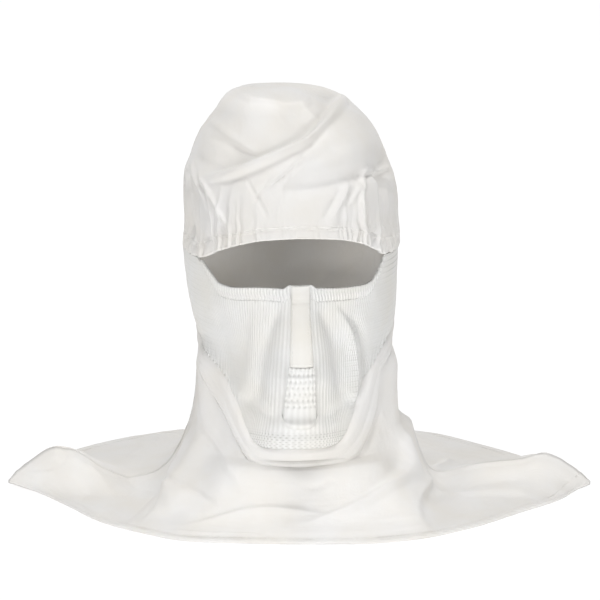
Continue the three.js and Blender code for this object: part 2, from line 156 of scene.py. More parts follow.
BACK_CAPE = table(CAPE_COLUMNS, [
    [90, 0.12, -288, 222, -21, -292.5],
    [98, 0.14, -288, 205, 8, -293],
    [108, 0.2, -287, 187, 47, -293.5],
    [122, 0.28, -284, 157, 88, -293.5],
    [136, 0.33, -282, 122, 125, -293.5],
    [155, 0.35, -280, 66, 147, -293.5],
    [180, 0.35, -279, -4, 148, -293.5],
    [205, 0.35, -281, -66, 150, -293.5],
    [230, 0.3, -285, -112, 134, -293.5],
    [250, 0.22, -288, -160, 98, -293.5],
    [262, 0.17, -288, -193, 45, -293],
    [270, 0.17, -285, -208, 9, -291],
])

# Humps in which the cape's side tips stand up along the side seams
LEFT_WING = table("run rise", [
    [336, 0], [351, 9], [359, 17], [368, 23], [375, 24], [390, 13], [HEM_RUN, 0.5],
])
RIGHT_WING = table("run rise", [
    [314, 0], [325, 3], [342, 10], [367, 15], [377, 19], [384, 16], [391, 10], [HEM_RUN, 0.5],
])
WING_SPREAD = 17.0

# The ridge in which the cloth stands up along each side seam of the neck and cape
SEAM_RIDGE = 2.6
SEAM_RIDGE_WIDTH = 2.2
SEAM_RIDGE_START = 285
SEAM_RIDGE_RISE = 25
SEAM_RIDGE_END = 6

# A stitch is a spindle of thread: its stations along the pitch, its girths there and how far its ends dive
STITCH_RADIUS = 0.28
STITCH_SIDES = 6
STITCH_STATIONS = np.array([-0.5, -0.36, 0.36, 0.5])
STITCH_GIRTHS = np.array([0.25, 1, 1, 0.25])
STITCH_FILL = 0.86
STITCH_DIVE = 0.3

# Edges of the eye opening by angle: the casing's foot and depth, and the mask's upper edge
BROW = table("deg foot depth", [
    [-90, 163.6, 9], [-60, 163, 9.5], [-46, 156, 10], [-32, 149.5, 8], [-16, 144.5, 8], [0, 143, 8],
    [16, 144.3, 8], [32, 149, 8.5], [43, 155.5, 10.5], [52, 160.6, 9.5], [90, 161, 9],
])
MASK_TOP = table("deg run", [
    [-90, 164], [-60, 163.7], [-56, 166.5], [-52, 170], [-48, 174], [-44, 177.5], [-36, 179], [-22, 177.5],
    [-7, 176.5], [-4, 173.5], [4, 173.5], [7, 176.5], [22, 178.5], [34, 178.5], [40, 177], [44, 173],
    [48, 168], [52, 161.5], [90, 161.5],
])

# The binding round the mask's foot, from the left side seam (0) under the chin (10) to the right seam (20)
BINDING = table("step inner_deg inner_run outer_deg outer_run", [
    [0, -90, 222, -90, 234],
    [1, -76, 227, -78, 238],
    [2, -64, 232.5, -68, 243],
    [3, -54, 239, -60, 253],
    [4, -46, 246.5, -53, 262],
    [5, -39, 257, -46, 271],
    [6, -33, 268, -40, 280],
    [7, -28, 279, -35, 288],
    [8, -23, 288.5, -29, 296.5],
    [9, -15, 293, -20, 305],
    [10, 0, 293.5, 0, 309],
    [11, 11, 293, 15, 306.5],
    [12, 18, 289, 24, 302],
    [13, 23, 281, 32, 295],
    [14, 27, 271, 39, 286],
    [15, 32, 257.5, 45, 274],
    [16, 38, 247, 48.5, 260],
    [17, 47, 236, 51, 246],
    [18, 60, 225.5, 63, 235],
    [19, 74, 219, 75, 229],
    [20, 90, 215, 90, 225],
])

# The band, the tape and the mouth panel by the binding's steps, and by the share of the way down the mask
BAND_FIRST, BAND_LAST = 3.5, 15.5
TAPE_FIRST, TAPE_LAST = 9.5, 10.5
TAPE_MIDDLE = (TAPE_FIRST + TAPE_LAST) / 2
TAPE_BREADTH = 0.74
TAPE_END_SHARE = 0.4
MOUTH_START_SHARE = TAPE_END_SHARE + 0.006
MOUTH_FOOT_SHARE = 0.75
LIP_SHARE = 0.8
MOUTH_END_SHARE = 0.835

# The profiles of the casing's tube and of the binding's double roll, from their upper edges to their feet
CASING_TUBE = table("share height", [
    [0, -0.1], [0.06, 0.55], [0.14, 0.7], [0.24, 0.25], [0.5, 0.6], [0.85, 0.6], [0.93, 0.45], [1, 0],
])
BINDING_ROLL = table("share height", [
    [0, 0.2], [0.08, 1.3], [0.24, 2.4], [0.4, 2.3], [0.52, 1.9], [0.64, 2.3], [0.78, 2.2], [0.92, 0.4],
    [1, -0.4],
])

# The nose and chin under the mask: how far the cloth stands out, and over what half width
NOSE = table("run rise width", [
    [150, 0, 15], [165, 4.5, 15], [176, 8, 13], [192, 12, 13], [210, 19, 16], [224, 25, 19], [234, 25, 20],
    [250, 18, 22], [266, 14, 26], [282, 9, 30], [300, 3, 32], [312, 0, 32],
])

# Folds, each through three points of the skin: deg0 run0 deg1 run1 deg2 run2 height left right edge
# The height is minus for a valley. left and right are the widths on the two sides of someone who follows the
# fold. The edge goes from 0 for a soft swell to 1 for a pressed crease.
FOLDS = [
    # crown: the flat top's crease, the long fold down to the left, the deeper cloth above it, small creases
    [-80, 38, -8, 44, 66, 23, 2.6, 9, 2.4, 0.6],
    [110, 48, 50, 45, -10, 76, -9, 3, 23, 0.1],
    [24, 54, -14, 79, -62, 103, -9, 3, 23, 0.1],
    [110, 52, 50, 49, -10, 80, 1.4, 2.2, 2.2, 0.3],
    [24, 58, -14, 83, -62, 105, 1.2, 2, 2.2, 0.3],
    [110, 60, 50, 56, -12, 89, -4.5, 9, 3.5, 0],
    [24, 64, -16, 92, -62, 114, -4.5, 9, 3.5, 0],
    [-86, 70, -52, 72, -18, 86, 1.8, 3, 2, 0.3],
    [-66, 79, -42, 79, -16, 86, -0.8, 2, 3, 0.1],
    [-76, 92, -60, 96, -38, 99, -0.8, 3, 4, 0],
    [4, 80, -4, 95, -17, 110, -2.6, 1.4, 1.4, 0.7],
    [7, 82, -1, 97, -14, 112, 1.0, 3, 2.4, 0.2],
    [-30, 98, -20.5, 114, -14, 131, -1.3, 1.6, 1.6, 0.6],
    [-12, 97, -18, 110, -22, 119, -1.2, 1.6, 1.6, 0.6],
    [-6, 100, -8, 116, -11, 136, 0.8, 2, 2, 0.4],
    [-10, 111, 27, 102, 92, 99, -6.5, 9, 7, 0],
    [20, 84, 50, 80, 92, 78, 2, 8, 8, 0],
    [30, 103, 20, 119, 13, 136, 2.6, 2, 2, 0.3],
    [24, 105, 15.5, 119, 9, 132, -1.4, 1.8, 1.8, 0.3],
    [34, 105, 24, 121, 17, 136, -1.6, 2, 2, 0.2],
    [41, 103, 28, 116, 19, 131, 1.8, 2, 2, 0.3],
    # pleats that fall from the temples to the elastic, with a hollow behind each
    [-82, 97, -62, 111, -50, 130, 2.4, 1.8, 2, 0.5],
    [-56, 112, -49, 128, -49, 156, 2.0, 1.8, 1.8, 0.5],
    [-68, 99, -48, 120, -32, 150, 2.2, 1.8, 2, 0.5],
    [50, 94, 35, 113, 33, 138, 2.6, 1.8, 2.2, 0.5],
    [33, 116, 33, 132, 38, 156, 2.2, 1.8, 2, 0.5],
    [-86, 104, -74, 128, -72, 160, -8, 7, 14, 0],
    [62, 98, 52, 124, 54, 160, -11, 17, 5, 0],
    [38, 98, 57, 101, 80, 104, 2.8, 4, 1.6, 0.5],
    [52, 112, 48, 128, 46, 150, 1.6, 2.2, 2.2, 0.4],
    [66, 108, 62, 130, 60, 150, 1.6, 2.6, 2.6, 0.4],
    [-70, 112, -66, 130, -62, 152, 1.6, 2.4, 2.4, 0.4],
    # mask: a soft valley each side of the nose, a taut strip with a sharp edge on the right, hollow cheeks
    [-7, 188, -15, 218, -21, 264, -2.4, 3.5, 4.5, 0.1],
    [-16, 192, -25, 226, -30, 262, 2.4, 8, 8, 0],
    [-46, 194, -45, 222, -37, 254, -1.8, 7, 6, 0],
    [6, 188, 14, 218, 19, 262, -3, 5, 4, 0],
    [14, 188, 30, 230, 23, 276, 3.6, 2.2, 7, 0.2],
    [24, 196, 37, 230, 30, 266, -2.4, 4, 2, 0.2],
    [-34, 254, -20, 265, -6, 268, -3, 6, 6, 0],
    [6, 268, 18, 265, 32, 256, -3, 6, 6, 0],
    [-24, 283, 0, 285, 20, 282, 2.6, 5, 5, 0],
    # neck and bib
    [-86, 236, -74, 262, -62, 286, 2.4, 4, 4, 0.3],
    [-80, 244, -68, 270, -56, 294, -1.6, 4, 4, 0.2],
    [-64, 284, -40, 302, -20, 334, 1.6, 5, 3, 0.3],
    [48, 272, 38, 293, 20, 308, -1.6, 3, 4, 0.1],
    [70, 226, 63, 272, 54, 345, 5.5, 8, 14, 0],
    [-70, 222, -63, 272, -56, 350, 6, 14, 9, 0],
    [68, 296, 31, 334, -2, 376, 4.5, 6, 4, 0.2],
    [62, 292, 33, 325, 16, 354, -1.2, 4, 5, 0],
    [12, 322, 7, 328, 2, 334, -1.6, 4, 3, 0.1],
    [-38, 388, -17, 354, 10, 364, 1.8, 3, 8, 0.3],
    [-36, 382, -16, 347, 10, 357, -1.0, 6, 3, 0],
    [-50, 311, 0, 315, 50, 311, 7.5, 8, 23, 0],
    [-82, 300, -62, 322, -42, 362, 7, 14, 10, 0],
    [-80, 317, -50, 328, -26, 356, -1.8, 2.5, 3, 0.2],
    # cape: a deep valley on the left, a hanging edge on the right, and the hem's upright band
    [-84, 312, -61, 334, -45, 404, 4, 12, 3, 0.2],
    [-88, 318, -70, 342, -50, 406, -5, 4, 12, 0.1],
    [88, 302, 46, 338, 35, 404, 6, 4.5, 20, 0.2],
    [98, 302, 76, 312, 56, 332, 6, 10, 9, 0],
    [46, 336, 72, 346, 71, 404, 3, 12, 5, 0.3],
    [62, 324, 78, 338, 80, 392, -1.8, 6, 6, 0.2],
    [-66, 386, 0, 386, 50, 386, 2.5, 20, 12, 0],
    [-40, 392, -26, 391, -8, 392, 0.9, 1.4, 1.4, 0.3],
    [-36, 395, -24, 394, -12, 395, 0.8, 1.2, 1.2, 0.3],
    [-92, 369, -85, 382, -92, 397, -2.5, 2, 2.5, 0.2],
    [-84, 372, -74, 376, -66, 392, -2.5, 6, 6, 0.1],
    # back of the head and cape
    [97, 318, 104, 334, 113, 350, 3, 2.2, 4, 0.4],
    [94, 324, 100, 342, 108, 362, -2.5, 4, 3, 0.1],
    [262, 330, 256, 350, 250, 372, -3, 6, 8, 0.1],
    [112, 120, 150, 142, 196, 128, 2.5, 10, 12, 0],
    [250, 124, 222, 150, 180, 166, 2.5, 12, 10, 0],
    [128, 200, 160, 216, 205, 214, -2.5, 10, 10, 0],
    [236, 196, 214, 226, 178, 244, -2, 10, 10, 0],
    [142, 300, 138, 350, 132, 402, 4, 12, 12, 0],
    [170, 306, 176, 356, 178, 402, 3, 14, 14, 0],
    [214, 300, 220, 350, 228, 402, 4, 12, 12, 0],
]

# A fold's curve is followed in straight segments. It fades over a share of its length at each end, where a
# little of it is left, and reaches so many widths to each side. A pressed crease falls off at the cusp's
# steepness.
FOLD_SEGMENTS = 10
FOLD_FADE = 0.3
FOLD_END = 0.1
FOLD_REACH = 3.2
CUSP_STEEPNESS = 1.6

# Where folds and creasing die away: at the top of the head and before the hem
APEX_FADE = 30
HEM_FADE = 12

# Soft creasing: the sizes of its creases with their shares. Gathers, for the fine and the middle wave and for the
# broad one they merge into: pitch in degrees, how far the wave reaches from the elastic, and its share.
CREASES = [(26, 0.55), (13, 0.3), (6, 0.15)]
FINE_GATHERS, MIDDLE_GATHERS, BROAD_GATHERS = (3.6, 11, 0.75), (7.1, 18, 0.65), (11, 26, 0.5)

# The knits: the mask's girth, the band's ribs, the knots in each half of the mouth panel, and the height of a row of
# each, and where the band's foot lies under the tape
MASK_GIRTH = 270
MASK_ROW = 1.9
BAND_RIBS = 66
BAND_ROW = 1.6
BAND_FOOT_AT_NOSE = 184.5
MOUTH_KNOTS = 3
MOUTH_ROW = 5


def bell(distance, width):
    """A smooth hump: 1 in the middle, and e to the power of minus the square of the distance in widths."""
    return np.exp(-((distance / width) ** 2))


def smooth(t):
    """An S-curve: 0 up to t = 0, 1 from t = 1, and three squares of t less two cubes between them."""
    c = np.clip(t, 0, 1)
    return c * c * (3 - 2 * c)


def mix(a, b, t):
    """a at t = 0, b at t = 1, and a straight line through them elsewhere."""
    return a + (b - a) * t


def signed_power(base, exponent):
    """A power of the absolute value, with the sign kept."""
    return np.sign(base) * np.abs(base) ** exponent


def head_point(deg, run):
    """Plain head and neck: at each height a superellipse with its own breadth on each of its four sides."""
    angle = np.radians(deg)
    exponent = 2 / HEAD["power"](run)
    across = signed_power(np.sin(angle), exponent)
    ahead = signed_power(np.cos(angle), exponent)
    breadth = np.where(across < 0, HEAD["left"](run), HEAD["right"](run))
    reach = np.where(ahead > 0, HEAD["front"](run), HEAD["back"](run))
    return np.stack([HEAD["lean"](run) + breadth * across, -reach * ahead, HEAD["z"](run)], -1)


def cape_value(name, deg):
    """A column of the cape's tables at any angle."""
    turned = np.mod(deg, 360)
    in_front = (turned <= 90) | (turned >= 270)
    front = FRONT_CAPE[name](np.where(turned >= 270, turned - 360, turned))
    return np.where(in_front, front, BACK_CAPE[name](turned))


def form_point(deg, run):
    """The plain hood: the head and neck, and below them the cape.

    On the cape, x and y go straight from neck to hem, and z falls as a power of the share still to go.
    """
    deg, run = np.broadcast_arrays(np.asarray(deg, float), np.asarray(run, float))
    head = head_point(deg, np.minimum(run, NECK_RUN))
    share = np.clip((run - NECK_RUN) / CAPE_STEPS, 0, 1)
    neck = head_point(deg, np.full_like(run, NECK_RUN))
    hem_z = cape_value("hem_z", deg)
    drop = neck[..., 2] - hem_z
    knee = (cape_value("knee_z", deg) - hem_z) / drop
    steepness = np.log(knee) / np.log(1 - cape_value("knee_share", deg))
    cape = np.stack([
        mix(neck[..., 0], cape_value("hem_x", deg), share),
        mix(neck[..., 1], cape_value("hem_y", deg), share),
        hem_z + drop * (1 - share) ** steepness,
    ], -1)
    return np.where((run > NECK_RUN)[..., None], cape, head)


def form_normal(deg, run):
    """The outward direction of the plain hood, from central differences."""
    step = 1.5
    around = form_point(deg + step, run) - form_point(deg - step, run)
    down = form_point(deg, np.minimum(run + step, HEM_RUN)) - form_point(deg, run - step)
    normal = -np.cross(around, down)
    length = np.linalg.norm(normal, axis=-1, keepdims=True)
    normal = normal / np.where(length == 0, 1, length)
    return np.where((run < 1)[..., None], [0.0, 0.0, 1.0], normal)


def degree_length(run):
    """Millimetres of skin for each degree."""
    at = np.minimum(run, NECK_RUN)
    radius = (HEAD["left"](at) + HEAD["right"](at) + HEAD["front"](at) + HEAD["back"](at)) / 4
    return np.radians(radius) * (1 + np.maximum(run - NECK_RUN, 0) / CAPE_STEPS)


def fold_height(fold, deg, run):
    """A ridge or valley along a curve through three points: a bell or cusp of the distance from the curve."""
    deg0, run0, deg1, run1, deg2, run2, height, left, right, edge = fold
    scale = degree_length(run1)
    t = np.linspace(0, 1, FOLD_SEGMENTS + 1)

    def bend(a, b, c):
        """The parabola that starts at a, passes b half way and ends at c."""
        return a * (1 - t) ** 2 + 2 * (2 * b - (a + c) / 2) * t * (1 - t) + c * t * t

    xs, ys = bend(deg0, deg1, deg2) * scale, bend(run0, run1, run2)
    x, y = deg * scale, run
    reach = FOLD_REACH * max(left, right)
    near = (x > xs.min() - reach) & (x < xs.max() + reach) & (y > ys.min() - reach) & (y < ys.max() + reach)
    result = np.zeros(np.shape(deg))
    if not near.any():
        return result
    x, y = x[near], y[near]
    best = np.full(x.shape, np.inf)
    side = np.zeros(x.shape)
    along = np.zeros(x.shape)
    for i in range(FOLD_SEGMENTS):
        dx, dy = xs[i + 1] - xs[i], ys[i + 1] - ys[i]
        share = np.clip(((x - xs[i]) * dx + (y - ys[i]) * dy) / (dx * dx + dy * dy), 0, 1)
        distance = np.hypot(x - xs[i] - dx * share, y - ys[i] - dy * share)
        closer = distance < best
        best = np.where(closer, distance, best)
        side = np.where(closer, dx * (y - ys[i]) - dy * (x - xs[i]), side)
        along = np.where(closer, (i + share) / FOLD_SEGMENTS, along)
    width = np.where(side < 0, left, right)
    fade = smooth(np.minimum(along, 1 - along) / FOLD_FADE + FOLD_END)
    profile = mix(bell(best, width), np.exp(-CUSP_STEEPNESS * best / width), edge)
    result[near] = height * fade * profile
    return result


def relief(deg, run):
    """How far the cloth stands out from the plain hood: the sum of nose, wings, seam ridges and folds."""
    from_left = np.abs(np.where(deg > 180, deg - 360 + SIDE_SEAM, deg + SIDE_SEAM))
    from_right = np.abs(deg - SIDE_SEAM)
    from_middle = np.minimum(np.abs(deg), 360 - np.abs(deg)) * degree_length(run)
    height = NOSE["rise"](run) * bell(from_middle, NOSE["width"](run))
    on_cape = run > NECK_RUN
    wings = LEFT_WING["rise"](run) * (1 - smooth(from_left / WING_SPREAD))
    wings = wings + RIGHT_WING["rise"](run) * (1 - smooth(from_right / WING_SPREAD))
    height = height + np.where(on_cape, wings, 0)
    from_seam = np.minimum(from_left, from_right) * degree_length(run)
    ends = smooth((run - SEAM_RIDGE_START) / SEAM_RIDGE_RISE) * smooth((HEM_RUN - run) / SEAM_RIDGE_END)
    height = height + SEAM_RIDGE * bell(from_seam, SEAM_RIDGE_WIDTH) * ends
    folds = sum(fold_height(fold, deg, run) for fold in FOLDS)
    return height + folds * np.where(on_cape, smooth((HEM_RUN - run) / HEM_FADE), smooth(run / APEX_FADE))


def lattice(deg, run):
    """The skin's points, outward directions and relief on a grid, worked out once for a piece."""
    return form_point(deg, run), form_normal(deg, run), relief(deg, run)


def value_noise(x, y, seed):
    """Smooth noise from -1 to 1 on a unit lattice, with random corner values from the seed."""
    size = 256
    corners = np.random.default_rng(seed).uniform(-1, 1, (size, size))
    x0, y0 = np.floor(x).astype(int), np.floor(y).astype(int)
    fx, fy = smooth(x - x0), smooth(y - y0)
    a = corners[x0 % size, y0 % size]
    b = corners[(x0 + 1) % size, y0 % size]
    c = corners[x0 % size, (y0 + 1) % size]
    d = corners[(x0 + 1) % size, (y0 + 1) % size]
    return mix(mix(a, b, fx), mix(c, d, fx), fy)


def crumple(deg, run, seed, fineness=1.0):
    """Soft creasing of worn cotton: ridged noise over the skin at three scales in mm, from -1 to 1."""
    x, y = deg * degree_length(run) * fineness, run * fineness
    total = 0
    for octave, (size, share) in enumerate(CREASES):
        total = total + share * (1 - 2 * np.abs(value_noise(x / size + 31, y / size + 17, seed + octave)))
    return total


def pleat(turns):
    """A gather once a turn, with a round ridge and a pinched valley, from -1 to 1."""
    return 0.4 * np.cos(2 * np.pi * turns) + 0.6 * (2 * np.abs(np.cos(np.pi * turns)) - 1)


def gathers(deg, run, reach, seed):
    """Pleats that an elastic pulls into the cloth: uneven waves round the head that merge away from it.

    Three waves of growing pitch, in degrees, each die away as an exponential of the reach from the elastic.
    """
    drift = 0.5 * np.sin(deg * 0.19 + seed) + 0.35 * np.sin(deg * 0.47 + 2 * seed)
    sway = 0.55 * np.sin(run * 0.42 + deg * 0.3) * np.exp(-reach / 18)
    pitch, fade, share = FINE_GATHERS
    fine = share * (pleat((deg + sway) / pitch + drift) * np.exp(-reach / fade))
    pitch, fade, share = MIDDLE_GATHERS
    middle = share * (pleat((deg + sway) / pitch + drift * 0.7) * np.exp(-reach / fade))
    pitch, fade, share = BROAD_GATHERS
    wave = np.cos(2 * np.pi * (deg / pitch + drift * 0.5))
    broad = share * (wave * np.exp(-reach / fade) * smooth(reach / 8))
    return (fine + middle + broad) * smooth((52 - reach) / 24)


def cloth_shell(name, deg, run, lift, thick, material, side=-1, uv=None, holes=None):
    """A closed wall of cloth over a grid of the skin: an outer face lift over it and an inner face thick below.

    Without a map of its own, the cloth is mapped in centimetres. Front and back part by the seam's gap.
    """
    point, normal, height = lattice(deg, run)
    lift = np.broadcast_to(lift, deg.shape)
    thick = np.broadcast_to(thick, deg.shape)
    outer = point + normal * (height + lift)[..., None]
    inner = point + normal * (height + lift - thick)[..., None]
    outer[..., 2] = np.maximum(outer[..., 2], REST_Z + thick)
    inner[..., 2] = np.maximum(inner[..., 2], REST_Z)
    for face in (outer, inner):
        face[..., 1] += side * SEAM_GAP / 2
    if uv is None:
        uv = np.stack([deg * degree_length(np.minimum(run, 200)), run], -1) / 10
    return wall_mesh(name, outer, inner, uv, material, holes)


def wall_mesh(name, outer, inner, uv, material, holes=None):
    """Two grids of points in mm joined round the rim into one closed mesh, with the cloth's own map."""
    rows, columns = outer.shape[:2]
    count = rows * columns
    points = np.concatenate([outer.reshape(-1, 3), inner.reshape(-1, 3)]) * MM
    index = np.arange(count).reshape(rows, columns)
    a, b, c, d = index[:-1, :-1], index[1:, :-1], index[1:, 1:], index[:-1, 1:]
    front = np.stack([a, b, c, d], -1).reshape(-1, 4)
    back = np.stack([a, d, c, b], -1).reshape(-1, 4) + count
    ring = np.concatenate([index[0, :-1], index[:-1, -1], index[-1, :0:-1], index[:0:-1, 0]])
    after = np.roll(ring, -1)
    rim = np.stack([ring, after, after + count, ring + count], -1)
    faces = np.concatenate([front, back, rim])
    mesh = bpy.data.meshes.new(name)
    mesh.from_pydata(points.tolist(), [], faces.tolist())
    layer = mesh.uv_layers.new(name="cloth")
    corners = np.zeros(len(mesh.loops), np.int32)
    mesh.loops.foreach_get("vertex_index", corners)
    flat = np.concatenate([uv.reshape(-1, 2)] * 2)
    layer.uv.foreach_set("vector", flat[corners].astype(np.float32).ravel())
    if holes is not None:
        weight = mesh.attributes.new("holes", "FLOAT", "POINT")
        weight.data.foreach_set("value", np.concatenate([holes.ravel()] * 2).astype(np.float32))
    work = bmesh.new()
    work.from_mesh(mesh)
    bmesh.ops.remove_doubles(work, verts=work.verts, dist=1e-7)
    work.to_mesh(mesh)
    work.free()
    return new_piece(name, mesh, material)


def new_piece(name, mesh, material):
    """A piece of the hood from a finished mesh, shaded smooth, that rides on the hood's one body."""
    mesh.materials.append(material)
    mesh.polygons.foreach_set("use_smooth", np.ones(len(mesh.polygons), bool))
    mesh.update()
    piece = bpy.data.objects.new(name, mesh)
    bpy.context.scene.collection.objects.link(piece)
    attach(piece, "root")
    return piece


def stitch_row(name, deg, run, lift, side=-1):
    """A row of thread stitches along a line of the skin: one small spindle for each stitch length of it."""
    point, normal, height = lattice(deg, run)
    line = point + normal * (height + lift)[..., None]
    line[..., 1] += side * SEAM_GAP / 2
    line[..., 2] = np.maximum(line[..., 2], REST_Z + STITCH_RADIUS)
    travelled = np.concatenate([[0], np.cumsum(np.linalg.norm(np.diff(line, axis=0), axis=1))])
    pitch = detail().stitch_length / MM
    count = max(int(travelled[-1] / pitch), 2)
    at = (np.arange(count) + 0.5) * travelled[-1] / count

    def sample(values, where):
        """The values at some distances along the line, straight between its points."""
        return np.stack([np.interp(where, travelled, values[:, k]) for k in range(3)], -1)

    centre = sample(line, at)
    along = sample(line, at + 0.3) - sample(line, at - 0.3)
    along = along / np.linalg.norm(along, axis=1, keepdims=True)
    out = sample(normal, at)
    out = out - along * np.sum(out * along, axis=1, keepdims=True)
    out = out / np.linalg.norm(out, axis=1, keepdims=True)
    across = np.cross(out, along)
    turns = np.arange(STITCH_SIDES) * 2 * np.pi / STITCH_SIDES
    stations = STITCH_STATIONS * pitch * STITCH_FILL
    girths = STITCH_GIRTHS * STITCH_RADIUS
    shape_along = np.repeat(stations, STITCH_SIDES)
    shape_across = np.outer(girths, np.cos(turns)).ravel()
    dive = STITCH_DIVE * (np.abs(shape_along) / stations[-1]) ** 3
    shape_out = np.outer(girths, np.sin(turns)).ravel() - dive
    points = centre[:, None]
    for direction, shape in ((along, shape_along), (across, shape_across), (out, shape_out)):
        points = points + direction[:, None] * shape[None, :, None]
    ring = np.arange(STITCH_SIDES)
    after = np.roll(ring, -1)
    rings = len(stations)
    band = np.stack([ring, after, after + STITCH_SIDES, ring + STITCH_SIDES], -1)
    sides = np.concatenate([band + k * STITCH_SIDES for k in range(rings - 1)])
    each = rings * STITCH_SIDES
    start = np.arange(count)[:, None, None] * each
    faces = (sides[None] + start).reshape(-1, 4).tolist()
    ends = np.stack([ring[::-1], ring + (rings - 1) * STITCH_SIDES])
    faces += (ends[None] + start).reshape(-1, STITCH_SIDES).tolist()
    mesh = bpy.data.meshes.new(name)
    mesh.from_pydata((points.reshape(-1, 3) * MM).tolist(), [], faces)
    piece = new_piece(name, mesh, thread())
    return piece


def grid(columns, rows):
    """Broadcast a list of column values and a list of row values to a grid."""
    return np.meshgrid(np.asarray(columns, float), np.asarray(rows, float))


# Finishes

# Painted light: patches where the cotton is made paler to stand in for light, in metres: the front of the neck and
# the bib by side, back, top and foot, and the top of the crown by height, each edge from where it starts to where it
# is full
PAINTED_LIGHT_GAIN = 1.09
PATCH_SIDE = (0.125, 0.09)
PATCH_BACK = (0.0, -0.02)
PATCH_TOP = (-0.15, -0.18)
PATCH_FOOT = (-0.292, -0.284)
CROWN_PATCH = (-0.015, -0.007)

# Sockets of a Mix node that mixes colours
MIX_COLOURS = (6, 7)
MIX_RESULT = 2
EYELET_COLOUR = (0.45, 0.44, 0.41, 1)


def new_material(name, colour, roughness, sheen):
    """An empty cloth finish with its shader, ready for a bump chain."""
    material = bpy.data.materials.new(name)
    material.use_nodes = True
    shader = material.node_tree.nodes["Principled BSDF"]
    shader.inputs["Base Color"].default_value = (*colour, 1)
    shader.inputs["Roughness"].default_value = roughness
    shader.inputs["Sheen Weight"].default_value = sheen
    shader.inputs["Specular IOR Level"].default_value = 0.2
    return material, material.node_tree, shader


def feed(tree, socket, value):
    """Link a socket to another, or set it to a value."""
    if isinstance(value, bpy.types.NodeSocket):
        tree.links.new(value, socket)
    else:
        socket.default_value = value


def node(tree, kind, **inputs):
    """A node with some of its inputs fed by name."""
    made = tree.nodes.new(kind)
    for key, value in inputs.items():
        feed(tree, made.inputs[key], value)
    return made


def math(tree, operation, a, b=0.0):
    """One step of arithmetic on sockets or numbers."""
    made = tree.nodes.new("ShaderNodeMath")
    made.operation = operation
    feed(tree, made.inputs[0], a)
    feed(tree, made.inputs[1], b)
    return made.outputs[0]


def blended(tree, share, first, second):
    """The first colour where the share is 0, the second where it is 1."""
    made = node(tree, "ShaderNodeMix", Factor=share)
    made.data_type = "RGBA"
    for index, colour in zip(MIX_COLOURS, (first, second)):
        feed(tree, made.inputs[index], colour)
    return made.outputs[MIX_RESULT]


def object_place(tree):
    """A place on the hood, in metres."""
    return tree.nodes.new("ShaderNodeTexCoord").outputs["Object"]


def cloth_axes(tree):
    """The two directions of the cloth's own map."""
    place = tree.nodes.new("ShaderNodeUVMap")
    place.uv_map = "cloth"
    split = node(tree, "ShaderNodeSeparateXYZ", Vector=place.outputs["UV"])
    return place.outputs["UV"], split.outputs["X"], split.outputs["Y"]


def ripple(tree, along, turns, phase=0.0):
    """A sine from 0 to 1 with so many turns to the unit."""
    angle = math(tree, "ADD", math(tree, "MULTIPLY", along, 2 * np.pi * turns), phase)
    return math(tree, "MULTIPLY", math(tree, "ADD", math(tree, "SINE", angle), 1.0), 0.5)


def mottled(tree, colour, amount):
    """Slight unevenness of colour over some centimetres."""
    broad = node(tree, "ShaderNodeTexNoise", Vector=object_place(tree), Scale=28.0, Detail=4.0)
    ramp = node(tree, "ShaderNodeValToRGB", Fac=broad.outputs["Fac"])
    ramp.color_ramp.elements[0].position = 0.35
    ramp.color_ramp.elements[1].position = 0.65
    ramp.color_ramp.elements[0].color = (*[c * (1 - amount * k) for c, k in zip(colour, (0.4, 0.7, 1.3))], 1)
    ramp.color_ramp.elements[1].color = (*colour, 1)
    return ramp.outputs["Color"]


def rising(tree, value, start, end):
    """0 before the start and 1 after the end, with a straight rise between them."""
    limits = {"From Min": start, "From Max": end}
    return node(tree, "ShaderNodeMapRange", Value=value, **limits).outputs["Result"]


def painted_light_patches(tree):
    """Painted light: 1 over the bib, the front of the neck and the top of the crown, where the cotton is paled, and
    0 elsewhere, with soft edges.
    """
    place = node(tree, "ShaderNodeSeparateXYZ", Vector=object_place(tree))
    across, ahead, up = (place.outputs[axis] for axis in "XYZ")
    share = rising(tree, math(tree, "ABSOLUTE", across), *PATCH_SIDE)
    for value, edge in ((ahead, PATCH_BACK), (up, PATCH_TOP), (up, PATCH_FOOT)):
        share = math(tree, "MULTIPLY", share, rising(tree, value, *edge))
    return math(tree, "MAXIMUM", share, rising(tree, up, *CROWN_PATCH))


def woven_finish(name, colour, pitch_mm):
    """Plain-weave cotton: warp and weft as two crossed waves, a fine slub along the threads, and painted light as
    paler patches.
    """
    material, tree, shader = new_material(name, colour, 0.88, 0.08)
    # Painted light: the cotton is paler over the bib, the front of the neck and the top of the crown
    paler = mottled(tree, [c * PAINTED_LIGHT_GAIN for c in colour], 0.05)
    shade = blended(tree, painted_light_patches(tree), mottled(tree, colour, 0.05), paler)
    tree.links.new(shade, shader.inputs["Base Color"])
    uv, across, down = cloth_axes(tree)
    turns = 10.0 / pitch_mm
    warp = math(tree, "MULTIPLY", ripple(tree, across, turns), ripple(tree, down, turns))
    weft = math(tree, "MULTIPLY", ripple(tree, across, turns, np.pi), ripple(tree, down, turns, np.pi))
    weave = math(tree, "ADD", warp, weft)
    stretched = node(tree, "ShaderNodeMapping", Vector=uv, Scale=(9, 3, 1))
    slub = node(tree, "ShaderNodeTexNoise", Vector=stretched.outputs["Vector"], Scale=1.0, Detail=3.0)
    rough = node(tree, "ShaderNodeBump", Strength=0.3, Distance=0.0005, Height=slub.outputs["Fac"])
    bump = node(tree, "ShaderNodeBump", Strength=0.4, Distance=0.0001, Height=weave,
                Normal=rough.outputs["Normal"])
    tree.links.new(bump.outputs["Normal"], shader.inputs["Normal"])
    return material


